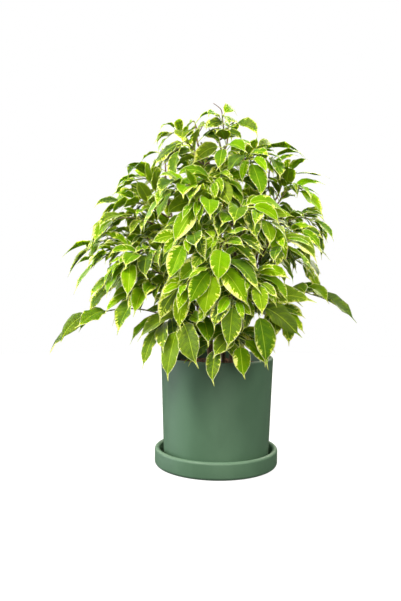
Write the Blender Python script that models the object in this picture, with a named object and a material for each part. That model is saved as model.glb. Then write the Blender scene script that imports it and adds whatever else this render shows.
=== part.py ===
"""Variegated weeping fig in a straight-sided ceramic pot on a matching saucer.

The row frame has +Z up and its origin at the centre of the saucer's underside. Six woody stems are
rooted in the potting mix; leafy twigs grow from them, each one solid with its own leaves. A twig sets
out level from its stem, climbs, then weeps; its leaves alternate left and right along it.
"""

import math

import bmesh
import bpy
import numpy as np
from mathutils.bvhtree import BVHTree

# Driving dimensions, in metres.
GAP = 0.0003
ROUND = 48

SAUCER_RADIUS = 0.0822
SAUCER_HEIGHT = 0.0230
SAUCER_WALL = 0.0068
SAUCER_FLOOR = 0.0065
SAUCER_HEEL = 0.0046
SAUCER_CORNER = 0.0020

POT_BASE_Z = SAUCER_FLOOR + GAP
POT_RIM_Z = 0.1447
POT_RIM_RADIUS = 0.0750
POT_BASE_RADIUS = 0.0700
POT_WALL = 0.0060
POT_FLOOR = 0.0080
POT_HEEL = 0.0040
POT_CORNER = 0.0030
FOOT_WIDTH = 0.0110
FOOT_HEIGHT = 0.0025
FOOT_SLANT = 0.0010
DRAIN_RADIUS = 0.0070

MIX_TOP_Z = 0.1330
MIX_CROWN = 0.0025
MIX_SHRINK = 0.0008
MIX_CORNER = 0.0045
STEM_SIDES = 6
STEM_RINGS = 12

TWIG_BASE_THICKNESS = 0.0030
TWIG_TIP_THICKNESS = 0.0016
TWIG_SIDES = 3
TWIG_POINTS = 49
TWIG_COLLAR = 0.0030
SETS_OUT = 0.30
COMES_DOWN = 0.36
LIFT_HEIGHTS = (0.20, 0.45)
LIFT_SHARES = (0.34, 0.10)
SWAYS = (0, 0.08, -0.08, 0.16, -0.16, 0.24, -0.24)
BARE_SHARE = 0.14
BARE_SHARES = {18: 0.80, 43: 0.66}
BARE_STEP = 9
NEAR_STEM = 6

LEAF_LENGTH = 0.0475
LEAF_WIDTH = 0.0245
LEAF_THICKNESS = 0.0007
LEAF_SPACING = 0.0066
LEAF_ANGLE = 52
PETIOLE_LENGTH = 0.0090
PETIOLE_THICKNESS = 0.0011
LIGHT = (-0.15, -0.35, 1.0)
OUTWARD = 0.95
STATIONS = (0.0, 0.30, 0.70, 1.0)
GUARD_STATIONS = (-0.75, 0.0, 0.10, 0.30, 0.52, 0.74, 0.90, 1.0)
CLEARANCE = 0.0009
POT_CLEARANCE = 0.0040
SEED = 7
TRIES = 16
WIDER = 0.12
SMALLER = 0.035
LEVEL_DROOP = 0.6
FLANK_CLOSER = 0.35
FLANK_LIFT = 0.30

# A leaf's build varies within these ranges: its length and width as shares of a full leaf's, and the angle
# in radians at which each half is folded up. Its ways vary within the others: the angle in degrees between
# it and its twig, its lift at the foot, its droop, and its roll in degrees about its midrib.
LEAF_BUILD = {"length": (0.82, 1.12), "width": (0.80, 1.05), "fold": (0.17, 0.42)}
LEAF_WAYS = {"angle": (38, 66), "lift": (-0.20, 0.30), "droop": (0.8, 2.2), "roll": (-26, 26)}

# Each stem: the points that its centreline passes, from its rooted foot to its tip, and its two radii.
STEMS = [
    ([(4, 2, 93), (4, 1, 200), (2, 0, 313), (5, 0, 357), (-15, 0, 402), (-29, 2, 440)], 4.2, 1.2),
    ([(18, -4, 93), (22, -3, 230), (20, -2, 330), (6, -2, 400), (-4, 0, 444)], 3.6, 1.1),
    ([(26, 10, 93), (32, 9, 170), (50, 5, 270), (70, 1, 372)], 3.4, 1.2),
    ([(-4, -12, 93), (-15, -13, 180), (-31, -12, 222), (-56, -8, 300), (-70, 2, 368)], 3.4, 1.2),
    ([(6, -26, 93), (8, -42, 190), (13, -64, 260), (12, -78, 322)], 3.2, 1.2),
    ([(-8, 24, 93), (-8, 40, 190), (-12, 62, 280), (-8, 76, 352)], 3.4, 1.2),
]

# Each twig: its stem, the height at which it leaves it and the place of its tip, in millimetres; its leaves'
# size, as a share of a full leaf's; and how steeply its tip weeps.
TWIGS = [
    # crown
    (2, 432, (3, -8, 461), 0.64, 0.3),
    (2, 418, (14, -12, 450), 0.98, 0.1),
    (2, 396, (54, -4, 416), 0.98, -0.6),
    (1, 422, (-38, 0, 455), 0.66, 1.0),
    (1, 402, (-66, 6, 440), 0.60, 0.8),
    (1, 388, (-50, -44, 415), 1.02, 2.6),
    (2, 386, (4, -44, 414), 0.85, 0.8),
    (2, 364, (36, -54, 396), 1.05, 1.1),
    (3, 364, (66, -26, 404), 0.95, 0.3),
    (3, 352, (96, 0, 388), 0.90, 0.0),
    (4, 356, (-80, 2, 414), 0.95, 1.3),
    # left
    (4, 346, (-104, -6, 378), 0.95, 0.5),
    (4, 330, (-130, 4, 344), 1.00, 0.7),
    (4, 308, (-144, -20, 318), 1.00, 0.8),
    (4, 286, (-166, 8, 290), 1.05, 0.8),
    (4, 264, (-150, -46, 270), 1.02, 0.9),
    (4, 238, (-128, -30, 246), 1.10, 1.0),
    (4, 164, (-172, -34, 194), 1.28, 0.5),
    (4, 180, (-72, -72, 190), 0.98, 1.2),
    (4, 214, (-100, -70, 226), 1.08, 1.0),
    (4, 250, (-112, -80, 264), 1.05, 0.9),
    # front
    (5, 310, (-60, -82, 352), 1.12, 1.0),
    (1, 332, (-12, -66, 362), 1.05, 1.0),
    (5, 316, (-26, -98, 336), 1.05, 1.2),
    (5, 314, (30, -96, 332), 1.00, 1.2),
    (5, 270, (-42, -106, 292), 1.05, 1.1),
    (5, 278, (2, -120, 286), 1.00, 1.3),
    (5, 228, (-40, -106, 240), 1.05, 1.2),
    (5, 246, (-7, -124, 258), 1.25, 2.4),
    (5, 206, (14, -122, 222), 1.00, 1.2),
    (5, 182, (-48, -98, 192), 1.22, 3.2),
    (5, 162, (-4, -96, 168), 0.92, 1.3),
    (5, 170, (24, -98, 174), 0.96, 1.4),
    # right
    (5, 296, (54, -88, 316), 1.05, 1.2),
    (3, 256, (72, -88, 286), 1.34, 2.2),
    (5, 224, (40, -118, 244), 1.00, 1.2),
    (5, 194, (44, -110, 211), 1.46, 2.4),
    (3, 188, (76, -80, 204), 0.82, 0.8),
    (3, 334, (97, -22, 365), 1.00, 0.4),
    (3, 310, (122, -14, 322), 0.86, 1.9),
    (3, 286, (98, -48, 300), 1.00, 1.0),
    (3, 246, (104, -14, 272), 1.05, 0.9),
    (3, 206, (120, -30, 229), 1.26, 0.45),
    # back
    (6, 346, (-4, 58, 404), 1.00, 0.4),
    (6, 330, (54, 70, 364), 1.05, 0.7),
    (6, 316, (-60, 76, 360), 1.05, 0.7),
    (6, 292, (14, 116, 326), 1.08, 0.9),
    (6, 276, (-94, 72, 304), 1.08, 0.8),
    (6, 262, (88, 78, 286), 1.12, 0.8),
    (6, 232, (-66, 104, 258), 1.10, 1.0),
    (6, 200, (20, 116, 226), 1.08, 1.0),
]

CERAMIC = ((0.165, 0.255, 0.180, 1.0), 0.62)
MIX = ((0.085, 0.045, 0.028, 1.0), 0.95)
BARK = ((0.150, 0.095, 0.060, 1.0), 0.80)
LEAF = ((0.180, 0.360, 0.050, 1.0), 0.40)


def finish_of(name, colour_and_roughness):
    """A plain Principled material of one colour."""
    colour, roughness = colour_and_roughness
    material = bpy.data.materials.get(name) or bpy.data.materials.new(name)
    material.use_nodes = True
    shader = material.node_tree.nodes["Principled BSDF"]
    shader.inputs["Base Color"].default_value = colour
    shader.inputs["Roughness"].default_value = roughness
    shader.inputs["Metallic"].default_value = 0.0
    return material


def solid(name, points, faces, finish):
    """An object of one closed mesh, with its faces turned outwards."""
    mesh = bpy.data.meshes.new(name)
    mesh.from_pydata([tuple(p) for p in points], [], faces)
    shape = bmesh.new()
    shape.from_mesh(mesh)
    bmesh.ops.recalc_face_normals(shape, faces=shape.faces)
    if shape.calc_volume(signed=True) < 0:
        bmesh.ops.reverse_faces(shape, faces=shape.faces)
    shape.to_mesh(mesh)
    shape.free()
    made = bpy.data.objects.new(name, mesh)
    bpy.context.scene.collection.objects.link(made)
    mesh.materials.append(finish)
    return made


def arc(centre, radius, start, end, steps):
    """Points (r, z) along an arc, its angles in degrees from +r towards +z."""
    angles = np.radians(np.linspace(start, end, steps + 1))
    return [(centre[0] + radius * math.cos(a), centre[1] + radius * math.sin(a)) for a in angles]


def lathed(name, profile, finish, closed=True):
    """A turned solid: the profile's (r, z) points carried round Z. An open profile ends on the axis."""
    angles = np.linspace(0, 2 * math.pi, ROUND, endpoint=False)
    points = []
    rings = []
    for r, z in profile:
        if r == 0:
            rings.append([len(points)] * ROUND)
            points.append((0.0, 0.0, z))
        else:
            rings.append(list(range(len(points), len(points) + ROUND)))
            points += [(r * math.cos(a), r * math.sin(a), z) for a in angles]
    faces = []
    spans = list(zip(rings, rings[1:]))
    if closed:
        spans.append((rings[-1], rings[0]))
    for low, high in spans:
        for i in range(ROUND):
            j = (i + 1) % ROUND
            corners = [low[i], low[j], high[j], high[i]]
            faces.append(list(dict.fromkeys(corners)))
    made = solid(name, points, faces, finish)
    made.data.shade_smooth()
    made.data.set_sharp_from_angle(angle=math.radians(35))
    return made


def saucer():
    """A shallow dish with a rounded heel, an upright wall and a rounded rim."""
    inner = SAUCER_RADIUS - SAUCER_WALL
    lip = SAUCER_WALL / 2
    corner = SAUCER_CORNER
    profile = [(0, 0)]
    profile += arc((SAUCER_RADIUS - SAUCER_HEEL, SAUCER_HEEL), SAUCER_HEEL, -90, 0, 3)
    profile += arc((SAUCER_RADIUS - lip, SAUCER_HEIGHT - lip), lip, 0, 180, 6)
    profile += [(inner, SAUCER_FLOOR + corner), (inner - corner, SAUCER_FLOOR), (0, SAUCER_FLOOR)]
    return lathed("saucer", profile, finish_of("ceramic", CERAMIC), closed=False)


def pot_radius(z):
    """The pot's outer radius at a height: it widens evenly from its base to its rim."""
    share = (z - POT_BASE_Z) / (POT_RIM_Z - POT_BASE_Z)
    return POT_BASE_RADIUS + share * (POT_RIM_RADIUS - POT_BASE_RADIUS)


def pot():
    """A tapered cylinder with a rounded rim, a foot ring and a drain hole through its floor."""
    lip = POT_WALL / 2
    floor_z = POT_BASE_Z + POT_FLOOR
    ledge_z = POT_BASE_Z + FOOT_HEIGHT
    foot_inside = POT_BASE_RADIUS - FOOT_WIDTH
    inner = pot_radius(floor_z) - POT_WALL
    profile = [(DRAIN_RADIUS, ledge_z), (foot_inside, ledge_z), (foot_inside + FOOT_SLANT, POT_BASE_Z)]
    profile += arc((pot_radius(POT_BASE_Z) - POT_HEEL, POT_BASE_Z + POT_HEEL), POT_HEEL, -90, 0, 3)
    profile += arc((POT_RIM_RADIUS - lip, POT_RIM_Z - lip), lip, 0, 180, 6)
    profile += [(inner, floor_z + POT_CORNER), (inner - POT_CORNER, floor_z), (DRAIN_RADIUS, floor_z)]
    return lathed("pot", profile, finish_of("ceramic", CERAMIC))


def through(points, count):
    """A Catmull-Rom curve through the points, as count points evenly spaced along it."""
    knots = np.array(points, float)
    knots = np.vstack([2 * knots[0] - knots[1], knots, 2 * knots[-1] - knots[-2]])
    t = np.linspace(0, 1, 24, endpoint=False)[:, None]
    runs = []
    for a, b, c, d in zip(knots, knots[1:], knots[2:], knots[3:]):
        runs.append(b + 0.5 * t * (c - a + t * (2 * a - 5 * b + 4 * c - d + t * (3 * (b - c) + d - a))))
    return spaced(np.vstack([*runs, knots[-2:-1]]), count)


def spaced(line, count):
    """The line as count points evenly spaced along it."""
    along = np.r_[0, np.cumsum(np.linalg.norm(np.diff(line, axis=0), axis=1))]
    at = np.linspace(0, along[-1], count)
    return np.stack([np.interp(at, along, line[:, k]) for k in range(3)], axis=1)


def unit(v):
    """The vectors at length 1."""
    return v / np.linalg.norm(v, axis=-1, keepdims=True)


def stem_line(stem):
    """A stem's centreline and its radius at each ring, in metres."""
    points, foot_radius, tip_radius = stem
    radius = np.linspace(foot_radius, tip_radius, STEM_RINGS) / 1000
    return through(np.array(points) / 1000, STEM_RINGS), radius


def stem_at(stem, z):
    """The point of a stem's centreline at a height, with the stem's direction and radius there."""
    line, radius = stem_line(stem)
    point = np.array([np.interp(z, line[:, 2], line[:, k]) for k in range(3)])
    segment = np.clip(np.searchsorted(line[:, 2], z), 1, len(line) - 1)
    return point, unit(line[segment] - line[segment - 1]), np.interp(z, line[:, 2], radius)


def tube_solid(name, line, radius, sides, finish):
    """A round tube along a line, with flat ends."""
    side = np.array([1.0, 0.0, 0.0])
    points = []
    for centre, along, r in zip(line, unit(np.gradient(line, axis=0)), radius):
        side = unit(side - along * (side @ along))
        up = np.cross(along, side)
        for a in np.linspace(0, 2 * math.pi, sides, endpoint=False):
            points.append(centre + r * (math.cos(a) * side + math.sin(a) * up))
    return solid(name, points, tube_faces(len(line), sides), finish)


def tube_faces(rings, sides):
    """The faces of a tube with flat ends, its points ring after ring."""
    faces = []
    for k in range(rings - 1):
        for i in range(sides):
            j = (i + 1) % sides
            faces.append([k * sides + i, k * sides + j, (k + 1) * sides + j, (k + 1) * sides + i])
    faces.append(list(range(sides)))
    faces.append([(rings - 1) * sides + i for i in range(sides)])
    return faces


def potting_mix():
    """A slightly crowned plug that fills the pot, with a socket for each rooted stem."""
    floor_z = POT_BASE_Z + POT_FLOOR + GAP
    low = pot_radius(floor_z) - POT_WALL - 2 * GAP
    high = pot_radius(MIX_TOP_Z) - POT_WALL - MIX_SHRINK
    profile = [(0, floor_z), (low - MIX_CORNER, floor_z), (low, floor_z + MIX_CORNER)]
    profile += [(high, MIX_TOP_Z - MIX_CROWN), (high * 0.97, MIX_TOP_Z)]
    profile += [(high * 0.6, MIX_TOP_Z + 0.7 * MIX_CROWN), (0, MIX_TOP_Z + MIX_CROWN)]
    mix = lathed("potting_mix", profile, finish_of("potting_mix", MIX), closed=False)
    for number, stem in enumerate(STEMS, 1):
        cut = mix.modifiers.new(f"socket_{number}", "BOOLEAN")
        cut.operation = "DIFFERENCE"
        cut.solver = "EXACT"
        cut.object = stem_socket(number, stem)


def stem_socket(number, stem):
    """The cutter for a stem's socket: the rooted end of the stem's own tube, grown by the gap."""
    line, radius = stem_line(stem)
    top = np.argmax(line[:, 2] > MIX_TOP_Z + MIX_CROWN) + 1
    line, radius = line[:top], radius[:top] + GAP / math.cos(math.pi / STEM_SIDES)
    line[0] -= unit(line[1] - line[0]) * GAP
    socket = tube_solid(f"socket_{number}", line, radius, STEM_SIDES, None)
    socket.hide_render = True
    socket.display_type = "WIRE"
    return socket


class Thicket:
    """The shapes placed so far, kept to find out whether a new one would touch any of them."""

    def __init__(self):
        self.trees, self.centres, self.radii, self.owners = [], [], [], []

    def add(self, owner, points, faces):
        centre = points.mean(0)
        self.trees.append(BVHTree.FromPolygons(points.tolist(), faces))
        self.centres.append(centre)
        self.radii.append(np.linalg.norm(points - centre, axis=1).max())
        self.owners.append(owner)

    def touches(self, points, faces, but=None):
        """Whether a shape touches one that is placed, leaving out the shapes of one owner."""
        centre = points.mean(0)
        radius = np.linalg.norm(points - centre, axis=1).max()
        apart = np.linalg.norm(np.array(self.centres) - centre, axis=1)
        near = np.flatnonzero(apart < np.array(self.radii) + radius)
        tree = BVHTree.FromPolygons(points.tolist(), faces)
        return any(self.owners[k] != but and self.trees[k].overlap(tree) for k in near)


def twig_line(twig, sway):
    """A twig's centreline: it leaves its stem at a right angle, climbs, and weeps towards its tip."""
    stem_number, seat_z, tip, size, weep = twig
    seat, along, radius = stem_at(STEMS[stem_number - 1], seat_z / 1000)
    tip = np.array(tip) / 1000
    out = tip - seat
    out = unit(out - along * (out @ along))
    start = seat + out * (radius + GAP)
    collar = start + out * TWIG_COLLAR
    reach = np.linalg.norm(tip - collar)
    level = unit((tip - collar) * (1, 1, 0))
    lift = reach * (1 + abs(sway)) * np.interp(tip[2], LIFT_HEIGHTS, LIFT_SHARES)
    aside = np.cross(level, (0, 0, 1)) * sway * reach
    towards = unit(level - (0, 0, weep))
    a = collar
    b = collar + out * reach * SETS_OUT + (0, 0, lift) + aside
    c = tip - towards * reach * COMES_DOWN + aside
    d = tip
    t = np.linspace(0, 1, TWIG_POINTS)[:, None]
    bend = (1 - t) ** 3 * a + 3 * (1 - t) ** 2 * t * b + 3 * (1 - t) * t**2 * c + t**3 * d
    return np.vstack([start, spaced(bend, TWIG_POINTS)])


def twig_frames(line):
    """Each point's direction, level side vector and upward vector, carried along without twist."""
    along = unit(np.gradient(line, axis=0))
    side = unit(np.cross(along[0], (0.0, 0.0, 1.0)))
    sides = []
    for direction in along:
        side = unit(side - direction * (side @ direction))
        sides.append(side)
    sides = np.array(sides)
    return along, sides, np.cross(sides, along)


def twig_thickness(line):
    """A twig's thickness at each point, from its base to its tip."""
    return np.linspace(TWIG_BASE_THICKNESS, TWIG_TIP_THICKNESS, len(line))


def twig_nodes(number, line):
    """The places along a twig, as indices into its line, where its side leaves grow."""
    length = np.linalg.norm(np.diff(line, axis=0), axis=1).sum()
    spacing = LEAF_SPACING * TWIGS[number - 1][3]
    count = int(length * (1 - BARE_SHARES.get(number, BARE_SHARE)) / spacing + 0.5)
    shares = 1 - (np.arange(count, 0, -1) * spacing) / length
    return (shares * (len(line) - 1)).round().astype(int)


def half_width(u):
    """The blade's half width as a share of its greatest, at a share u of its length: it has a drip tip."""
    shares = (0.00, 0.04, 0.11, 0.21, 0.34, 0.48, 0.61, 0.72, 0.81, 0.89, 1.00)
    widths = (0.06, 0.40, 0.71, 0.93, 1.00, 0.93, 0.75, 0.51, 0.26, 0.11, 0.00)
    return np.interp(u, shares, widths)


def flank(number):
    """How far a twig ends on one of the plant's two flanks: 1 right at the side, 0 at the front or back."""
    return unit(np.array(TWIGS[number - 1][2]) * (1, 1, 0))[0] ** 2


def leaf_habit(twig_number, place, attempt):
    """A leaf's own build and ways, the same each time. Later attempts are smaller and reach further round.

    On the plant's two flanks the side leaves lie closer to their twig and arch up from it.
    """
    draw = np.random.default_rng([SEED, twig_number, place, attempt])
    size = TWIGS[twig_number - 1][3] * (1 - SMALLER * attempt)
    habit = {key: draw.uniform(*span) for key, span in LEAF_BUILD.items()}
    habit["length"] *= LEAF_LENGTH * size
    habit["width"] *= LEAF_WIDTH * size
    for key, (low, high) in LEAF_WAYS.items():
        off_middle = draw.uniform(low, high) - (low + high) / 2
        habit[key] = (low + high) / 2 + off_middle * (1 + WIDER * attempt)
    habit["droop"] *= np.interp(TWIGS[twig_number - 1][4], (0, 1), (LEVEL_DROOP, 1))
    if place:
        habit["angle"] *= 1 - FLANK_CLOSER * flank(twig_number)
        habit["lift"] += FLANK_LIFT * flank(twig_number)
    return habit


def leaf_spine(base, heading, habit, steps=24):
    """The midrib from the petiole's foot to the blade's tip: it sets out along heading and bends down."""
    s = np.linspace(0, 1, steps)[:, None]
    ways = unit(heading + habit["droop"] * s * np.array((0, 0, -1.0)))
    length = habit["length"] + PETIOLE_LENGTH
    steps_along = 0.5 * (ways[1:] + ways[:-1]) * length / (steps - 1)
    return base + np.vstack([np.zeros(3), np.cumsum(steps_along, axis=0)])


def leaf_sides(spine, roll):
    """The vector across the blade at each point of its midrib: the upper face looks up and outwards."""
    mean = unit(spine[-1] - spine[0])
    outward = unit(spine[0] * (1, 1, 0) + (0, -1e-6, 0))
    facing = LIGHT + outward * OUTWARD * (1 - abs(mean @ outward))
    side = unit(np.cross(mean, facing))
    turn = math.radians(roll)
    side = unit(side * math.cos(turn) + np.cross(side, mean) * math.sin(turn))
    along = unit(np.gradient(spine, axis=0))
    return unit(side - along * (along @ side)[:, None]), along


def leaf_loops(spine, sides, along, habit, stations, swell=0.0):
    """A leaf's sections, each four points: its left edge, its top, its right edge and its bottom.

    A station from -1 to 0 lies on the petiole, and one from 0 to 1 on the blade.
    """
    petiole_share = PETIOLE_LENGTH / (habit["length"] + PETIOLE_LENGTH)
    loops = []
    for u in stations:
        share = petiole_share * (1 + u) if u < 0 else petiole_share + u * (1 - petiole_share)
        at = share * (len(spine) - 1)
        k = min(int(at), len(spine) - 2)
        centre = spine[k] + (spine[k + 1] - spine[k]) * (at - k)
        up = np.cross(sides[k], along[k])
        round_half = PETIOLE_THICKNESS / 2 if u <= 0 else 0
        half = max(half_width(max(u, 0)) * habit["width"] / 2, round_half) + swell
        deep = up * (max(LEAF_THICKNESS / 2, round_half) + swell)
        fold = habit["fold"] if u > 0 else 0
        run = sides[k] * half * math.cos(fold)
        rise = up * half * math.sin(fold)
        loops.append([centre - run + rise, centre + deep, centre + run + rise, centre - deep])
    return np.array(loops)


def ring(centre, side, up, radius, corners):
    """The corners of a section of a twig or stem, evenly round its centre, the first of them on top."""
    angles = math.pi / 2 + np.arange(corners) * 2 * math.pi / corners
    return [centre + radius * (math.cos(a) * side + math.sin(a) * up) for a in angles]


def guard(line, radius, corners=6):
    """A tube round a line for the touch test, stouter than what it stands for."""
    along, sides, ups = twig_frames(line)
    stout = (radius + CLEARANCE / 2) / math.cos(math.pi / corners)
    points = [ring(*section, corners) for section in zip(line, sides, ups, stout)]
    return np.reshape(points, (-1, 3)), tube_faces(len(line), corners)


def twig_guard(line):
    """A twig's shape for the touch test."""
    return guard(line[::4], twig_thickness(line)[::4] / 2)


def leaf_guard(spine, sides, along, habit):
    """A leaf's shape for the touch test, a little stouter than the leaf and clear of its own twig."""
    loops = leaf_loops(spine, sides, along, habit, GUARD_STATIONS, swell=CLEARANCE)
    return loops.reshape(-1, 3), tube_faces(len(loops), 4)


def in_the_open(points):
    """Whether every point keeps off the pot, the saucer and the space above the mix."""
    r = np.hypot(points[:, 0], points[:, 1])
    return bool(((r > POT_RIM_RADIUS + POT_CLEARANCE) | (points[:, 2] > POT_RIM_Z + POT_CLEARANCE)).all())


def grown_twigs(thicket):
    """Every twig's centreline, each swayed a little where it would touch what is placed before it."""
    lines = []
    for number, twig in enumerate(TWIGS, 1):
        for sway in SWAYS:
            line = twig_line(twig, sway)
            own_stem = f"stem_{twig[0]}"
            off_its_stem = twig_guard(line[NEAR_STEM:])
            if not thicket.touches(*twig_guard(line), but=own_stem) and not thicket.touches(*off_its_stem):
                break
        thicket.add(f"twig_{number}", *twig_guard(line))
        lines.append(line)
    return lines


def grown_leaf(number, line, place, thicket):
    """The first of a leaf's tries that touches nothing, as its loops, or None. Place 0 is the twig's end."""
    along, sides, ups = twig_frames(line)
    nodes = twig_nodes(number, line)
    k = nodes[-place] if place else len(line) - 2
    hand = 1 if (place + number) % 2 else -1
    base = (line[k] + line[k + 1]) / 2 + sides[k] * hand * twig_thickness(line)[k] / 2
    for attempt in range(TRIES):
        habit = leaf_habit(number, place, attempt)
        swing = hand * math.radians(habit["angle"] - (0 if place else LEAF_ANGLE))
        heading = unit(along[k] * math.cos(swing) + sides[k] * math.sin(swing) + ups[k] * habit["lift"])
        spine = leaf_spine(base, heading, habit)
        across, ways = leaf_sides(spine, habit["roll"])
        shape = leaf_guard(spine, across, ways, habit)
        if in_the_open(shape[0]) and not thicket.touches(*shape):
            thicket.add(f"leaf_{number}_{place}", *shape)
            return {"node": k, "hand": hand, "loops": leaf_loops(spine, across, ways, habit, STATIONS)}
    return None


def grow():
    """Every twig's centreline with its leaves: first the twigs, then their end leaves, then the others."""
    thicket = Thicket()
    for number, stem in enumerate(STEMS, 1):
        thicket.add(f"stem_{number}", *guard(*stem_line(stem)))
    lines = grown_twigs(thicket)
    counts = [len(twig_nodes(number, line)) for number, line in enumerate(lines, 1)]
    leaves = [[] for line in lines]
    for place in range(max(counts) + 1):
        for number, line in enumerate(lines, 1):
            if place <= counts[number - 1]:
                leaf = grown_leaf(number, line, place, thicket)
                if leaf:
                    leaves[number - 1].append(leaf)
    return lines, leaves


def joined_loops(points, faces, hole, loops):
    """Carry a four-sided hole's rim through a leaf's loops to its tip, matched to the nearest corners."""
    first = loops[0]
    rim = np.array([points[i] for i in hole])
    orders = [[(s + d * i) % 4 for i in range(4)] for s in range(4) for d in (1, -1)]
    order = min(orders, key=lambda o: ((rim - first[o]) ** 2).sum())
    previous = hole
    for loop in loops[:-1]:
        current = list(range(len(points), len(points) + 4))
        points += list(loop[order])
        faces += [[previous[i], previous[(i + 1) % 4], current[(i + 1) % 4], current[i]] for i in range(4)]
        previous = current
    points.append(loops[-1].mean(0))
    faces += [[previous[i], previous[(i + 1) % 4], len(points) - 1] for i in range(4)]


def leafy_twig(number, line, leaves):
    """One closed solid: the twig's three-sided tube, and each leaf drawn out of a wall of it."""
    along, sides, ups = twig_frames(line)
    radius = twig_thickness(line) / 2
    grips = {leaf["node"]: leaf for leaf in leaves}
    last = len(line) - 1
    keep = {0, 1, last, *range(1, min(grips, default=last), BARE_STEP), *grips, *(k + 1 for k in grips)}
    keep = sorted(keep)
    points = []
    faces = [list(range(TWIG_SIDES))]
    for k in keep:
        points += ring(line[k], sides[k], ups[k], radius[k], TWIG_SIDES)
    for n, k in enumerate(keep[:-1]):
        low = n * TWIG_SIDES
        high = low + TWIG_SIDES
        for i in range(TWIG_SIDES):
            j = (i + 1) % TWIG_SIDES
            wall = [low + i, low + j, high + j, high + i]
            if k in grips and i == (TWIG_SIDES - 1 if grips[k]["hand"] > 0 else 0):
                joined_loops(points, faces, wall, grips[k]["loops"])
            else:
                faces.append(wall)
    faces.append([len(keep) * TWIG_SIDES - 1 - i for i in range(TWIG_SIDES)])
    return solid(f"leafy_twig_{number:02d}", points, faces, finish_of("leaf", LEAF))


for old in list(bpy.data.objects):
    bpy.data.objects.remove(old)

saucer()
pot()
potting_mix()
for number, stem in enumerate(STEMS, 1):
    tube_solid(f"stem_{number}", *stem_line(stem), STEM_SIDES, finish_of("bark", BARK))
for number, (line, leaves) in enumerate(zip(*grow()), 1):
    leafy_twig(number, line, leaves)
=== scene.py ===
"""Looks of a variegated weeping fig in a sage-green ceramic pot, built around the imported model.

The sections follow the plant as it is potted: saucer, pot, potting mix, stems, twigs and leaves, then the
studio round it. Lengths are in metres unless a name says otherwise; places come from the frame.
"""

import math

import bpy
import numpy as np
from mathutils import Matrix, Vector
from mathutils.bvhtree import BVHTree


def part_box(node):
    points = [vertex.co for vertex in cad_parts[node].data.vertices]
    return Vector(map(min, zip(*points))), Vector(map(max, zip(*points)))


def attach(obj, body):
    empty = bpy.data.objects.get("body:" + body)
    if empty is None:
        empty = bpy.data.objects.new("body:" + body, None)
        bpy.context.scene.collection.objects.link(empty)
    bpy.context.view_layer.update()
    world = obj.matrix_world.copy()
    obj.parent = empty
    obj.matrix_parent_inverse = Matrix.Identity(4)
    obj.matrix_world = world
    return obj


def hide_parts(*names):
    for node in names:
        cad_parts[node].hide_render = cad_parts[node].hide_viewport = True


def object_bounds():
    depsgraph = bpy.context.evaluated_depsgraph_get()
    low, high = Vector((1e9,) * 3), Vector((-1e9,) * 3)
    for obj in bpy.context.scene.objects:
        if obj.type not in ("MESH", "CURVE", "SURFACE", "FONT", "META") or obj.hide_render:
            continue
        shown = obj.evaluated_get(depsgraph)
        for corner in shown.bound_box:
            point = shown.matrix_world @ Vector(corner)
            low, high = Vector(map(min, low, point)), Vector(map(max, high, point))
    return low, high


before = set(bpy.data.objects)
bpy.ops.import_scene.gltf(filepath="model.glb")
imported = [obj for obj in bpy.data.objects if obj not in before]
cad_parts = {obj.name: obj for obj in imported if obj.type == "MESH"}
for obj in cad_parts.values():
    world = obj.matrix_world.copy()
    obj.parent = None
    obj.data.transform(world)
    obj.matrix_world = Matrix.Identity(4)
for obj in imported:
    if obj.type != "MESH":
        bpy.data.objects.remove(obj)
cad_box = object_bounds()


# ---- Saucer -------------------------------------------------------------------------------------------
# A shallow stoneware dish, slip cast and fired with a matte sage-green glaze all over. The pot stands
# loose in it. Its rim is a full round and its heel is softened, where the glaze thins a little.

SAUCER_WALL = 0.0068
SAUCER_FLOOR = 0.0065
SAUCER_HEEL = 0.0046
AROUND = 160
SAGE = (0.075, 0.152, 0.090, 1.0)
SAGE_DEEP = (0.065, 0.134, 0.078, 1.0)
SAGE_THIN = (0.125, 0.210, 0.142, 1.0)


def arc(centre, radius, start, end, steps):
    """Points (r, z) of an arc: centre + radius * (cos, sin), its angle going evenly from start to end."""
    a = np.radians(np.linspace(start, end, steps + 1))
    return np.stack([centre[0] + radius * np.cos(a), centre[1] + radius * np.sin(a)], axis=1)


def straight(start, end, steps):
    """Points (r, z) evenly spaced on a straight line, both ends included."""
    return np.linspace(start, end, steps + 1)


def grid_quads(rows, columns, first=0):
    """The quads of a grid whose points come row after row, each row closing on itself."""
    row = first + np.arange(rows - 1)[:, None] * columns
    i = np.arange(columns)
    j = (i + 1) % columns
    return np.stack([row + i, row + j, row + columns + j, row + columns + i], axis=-1).reshape(-1, 4)


def fans(sides, last, pole):
    """Two fans of triangles, from the ring at point 0 to the pole and from the one at last to the next."""
    i = np.arange(sides)
    j = (i + 1) % sides
    foot = np.stack([j, i, 0 * i + pole], axis=1)
    head = np.stack([last + i, last + j, 0 * i + pole + 1], axis=1)
    return foot.tolist() + head.tolist()


def turned(profile, closed):
    """Points and faces of a turned body: each (r, z) of the profile becomes a ring (r cos a, r sin a, z).

    A closed profile joins its last ring to its first. An open one is shut at both ends by a fan of
    triangles to a point on the axis.
    """
    r, z = np.asarray(profile).T
    a = np.linspace(0, 2 * math.pi, AROUND, endpoint=False)
    rings = np.stack([r[:, None] * np.cos(a), r[:, None] * np.sin(a), z[:, None] + 0 * a], axis=-1)
    points = rings.reshape(-1, 3)
    quads = grid_quads(len(r), AROUND).tolist()
    last = (len(r) - 1) * AROUND
    if closed:
        i = np.arange(AROUND)
        j = (i + 1) % AROUND
        return points, quads + np.stack([last + i, last + j, j, i], axis=1).tolist()
    poles = np.array([[0, 0, z[0]], [0, 0, z[-1]]])
    return np.vstack([points, poles]), quads + fans(AROUND, last, len(points))


def in_scene(name, data):
    """A new object with this mesh, light or camera."""
    made = bpy.data.objects.new(name, data)
    bpy.context.scene.collection.objects.link(made)
    return made


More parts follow.
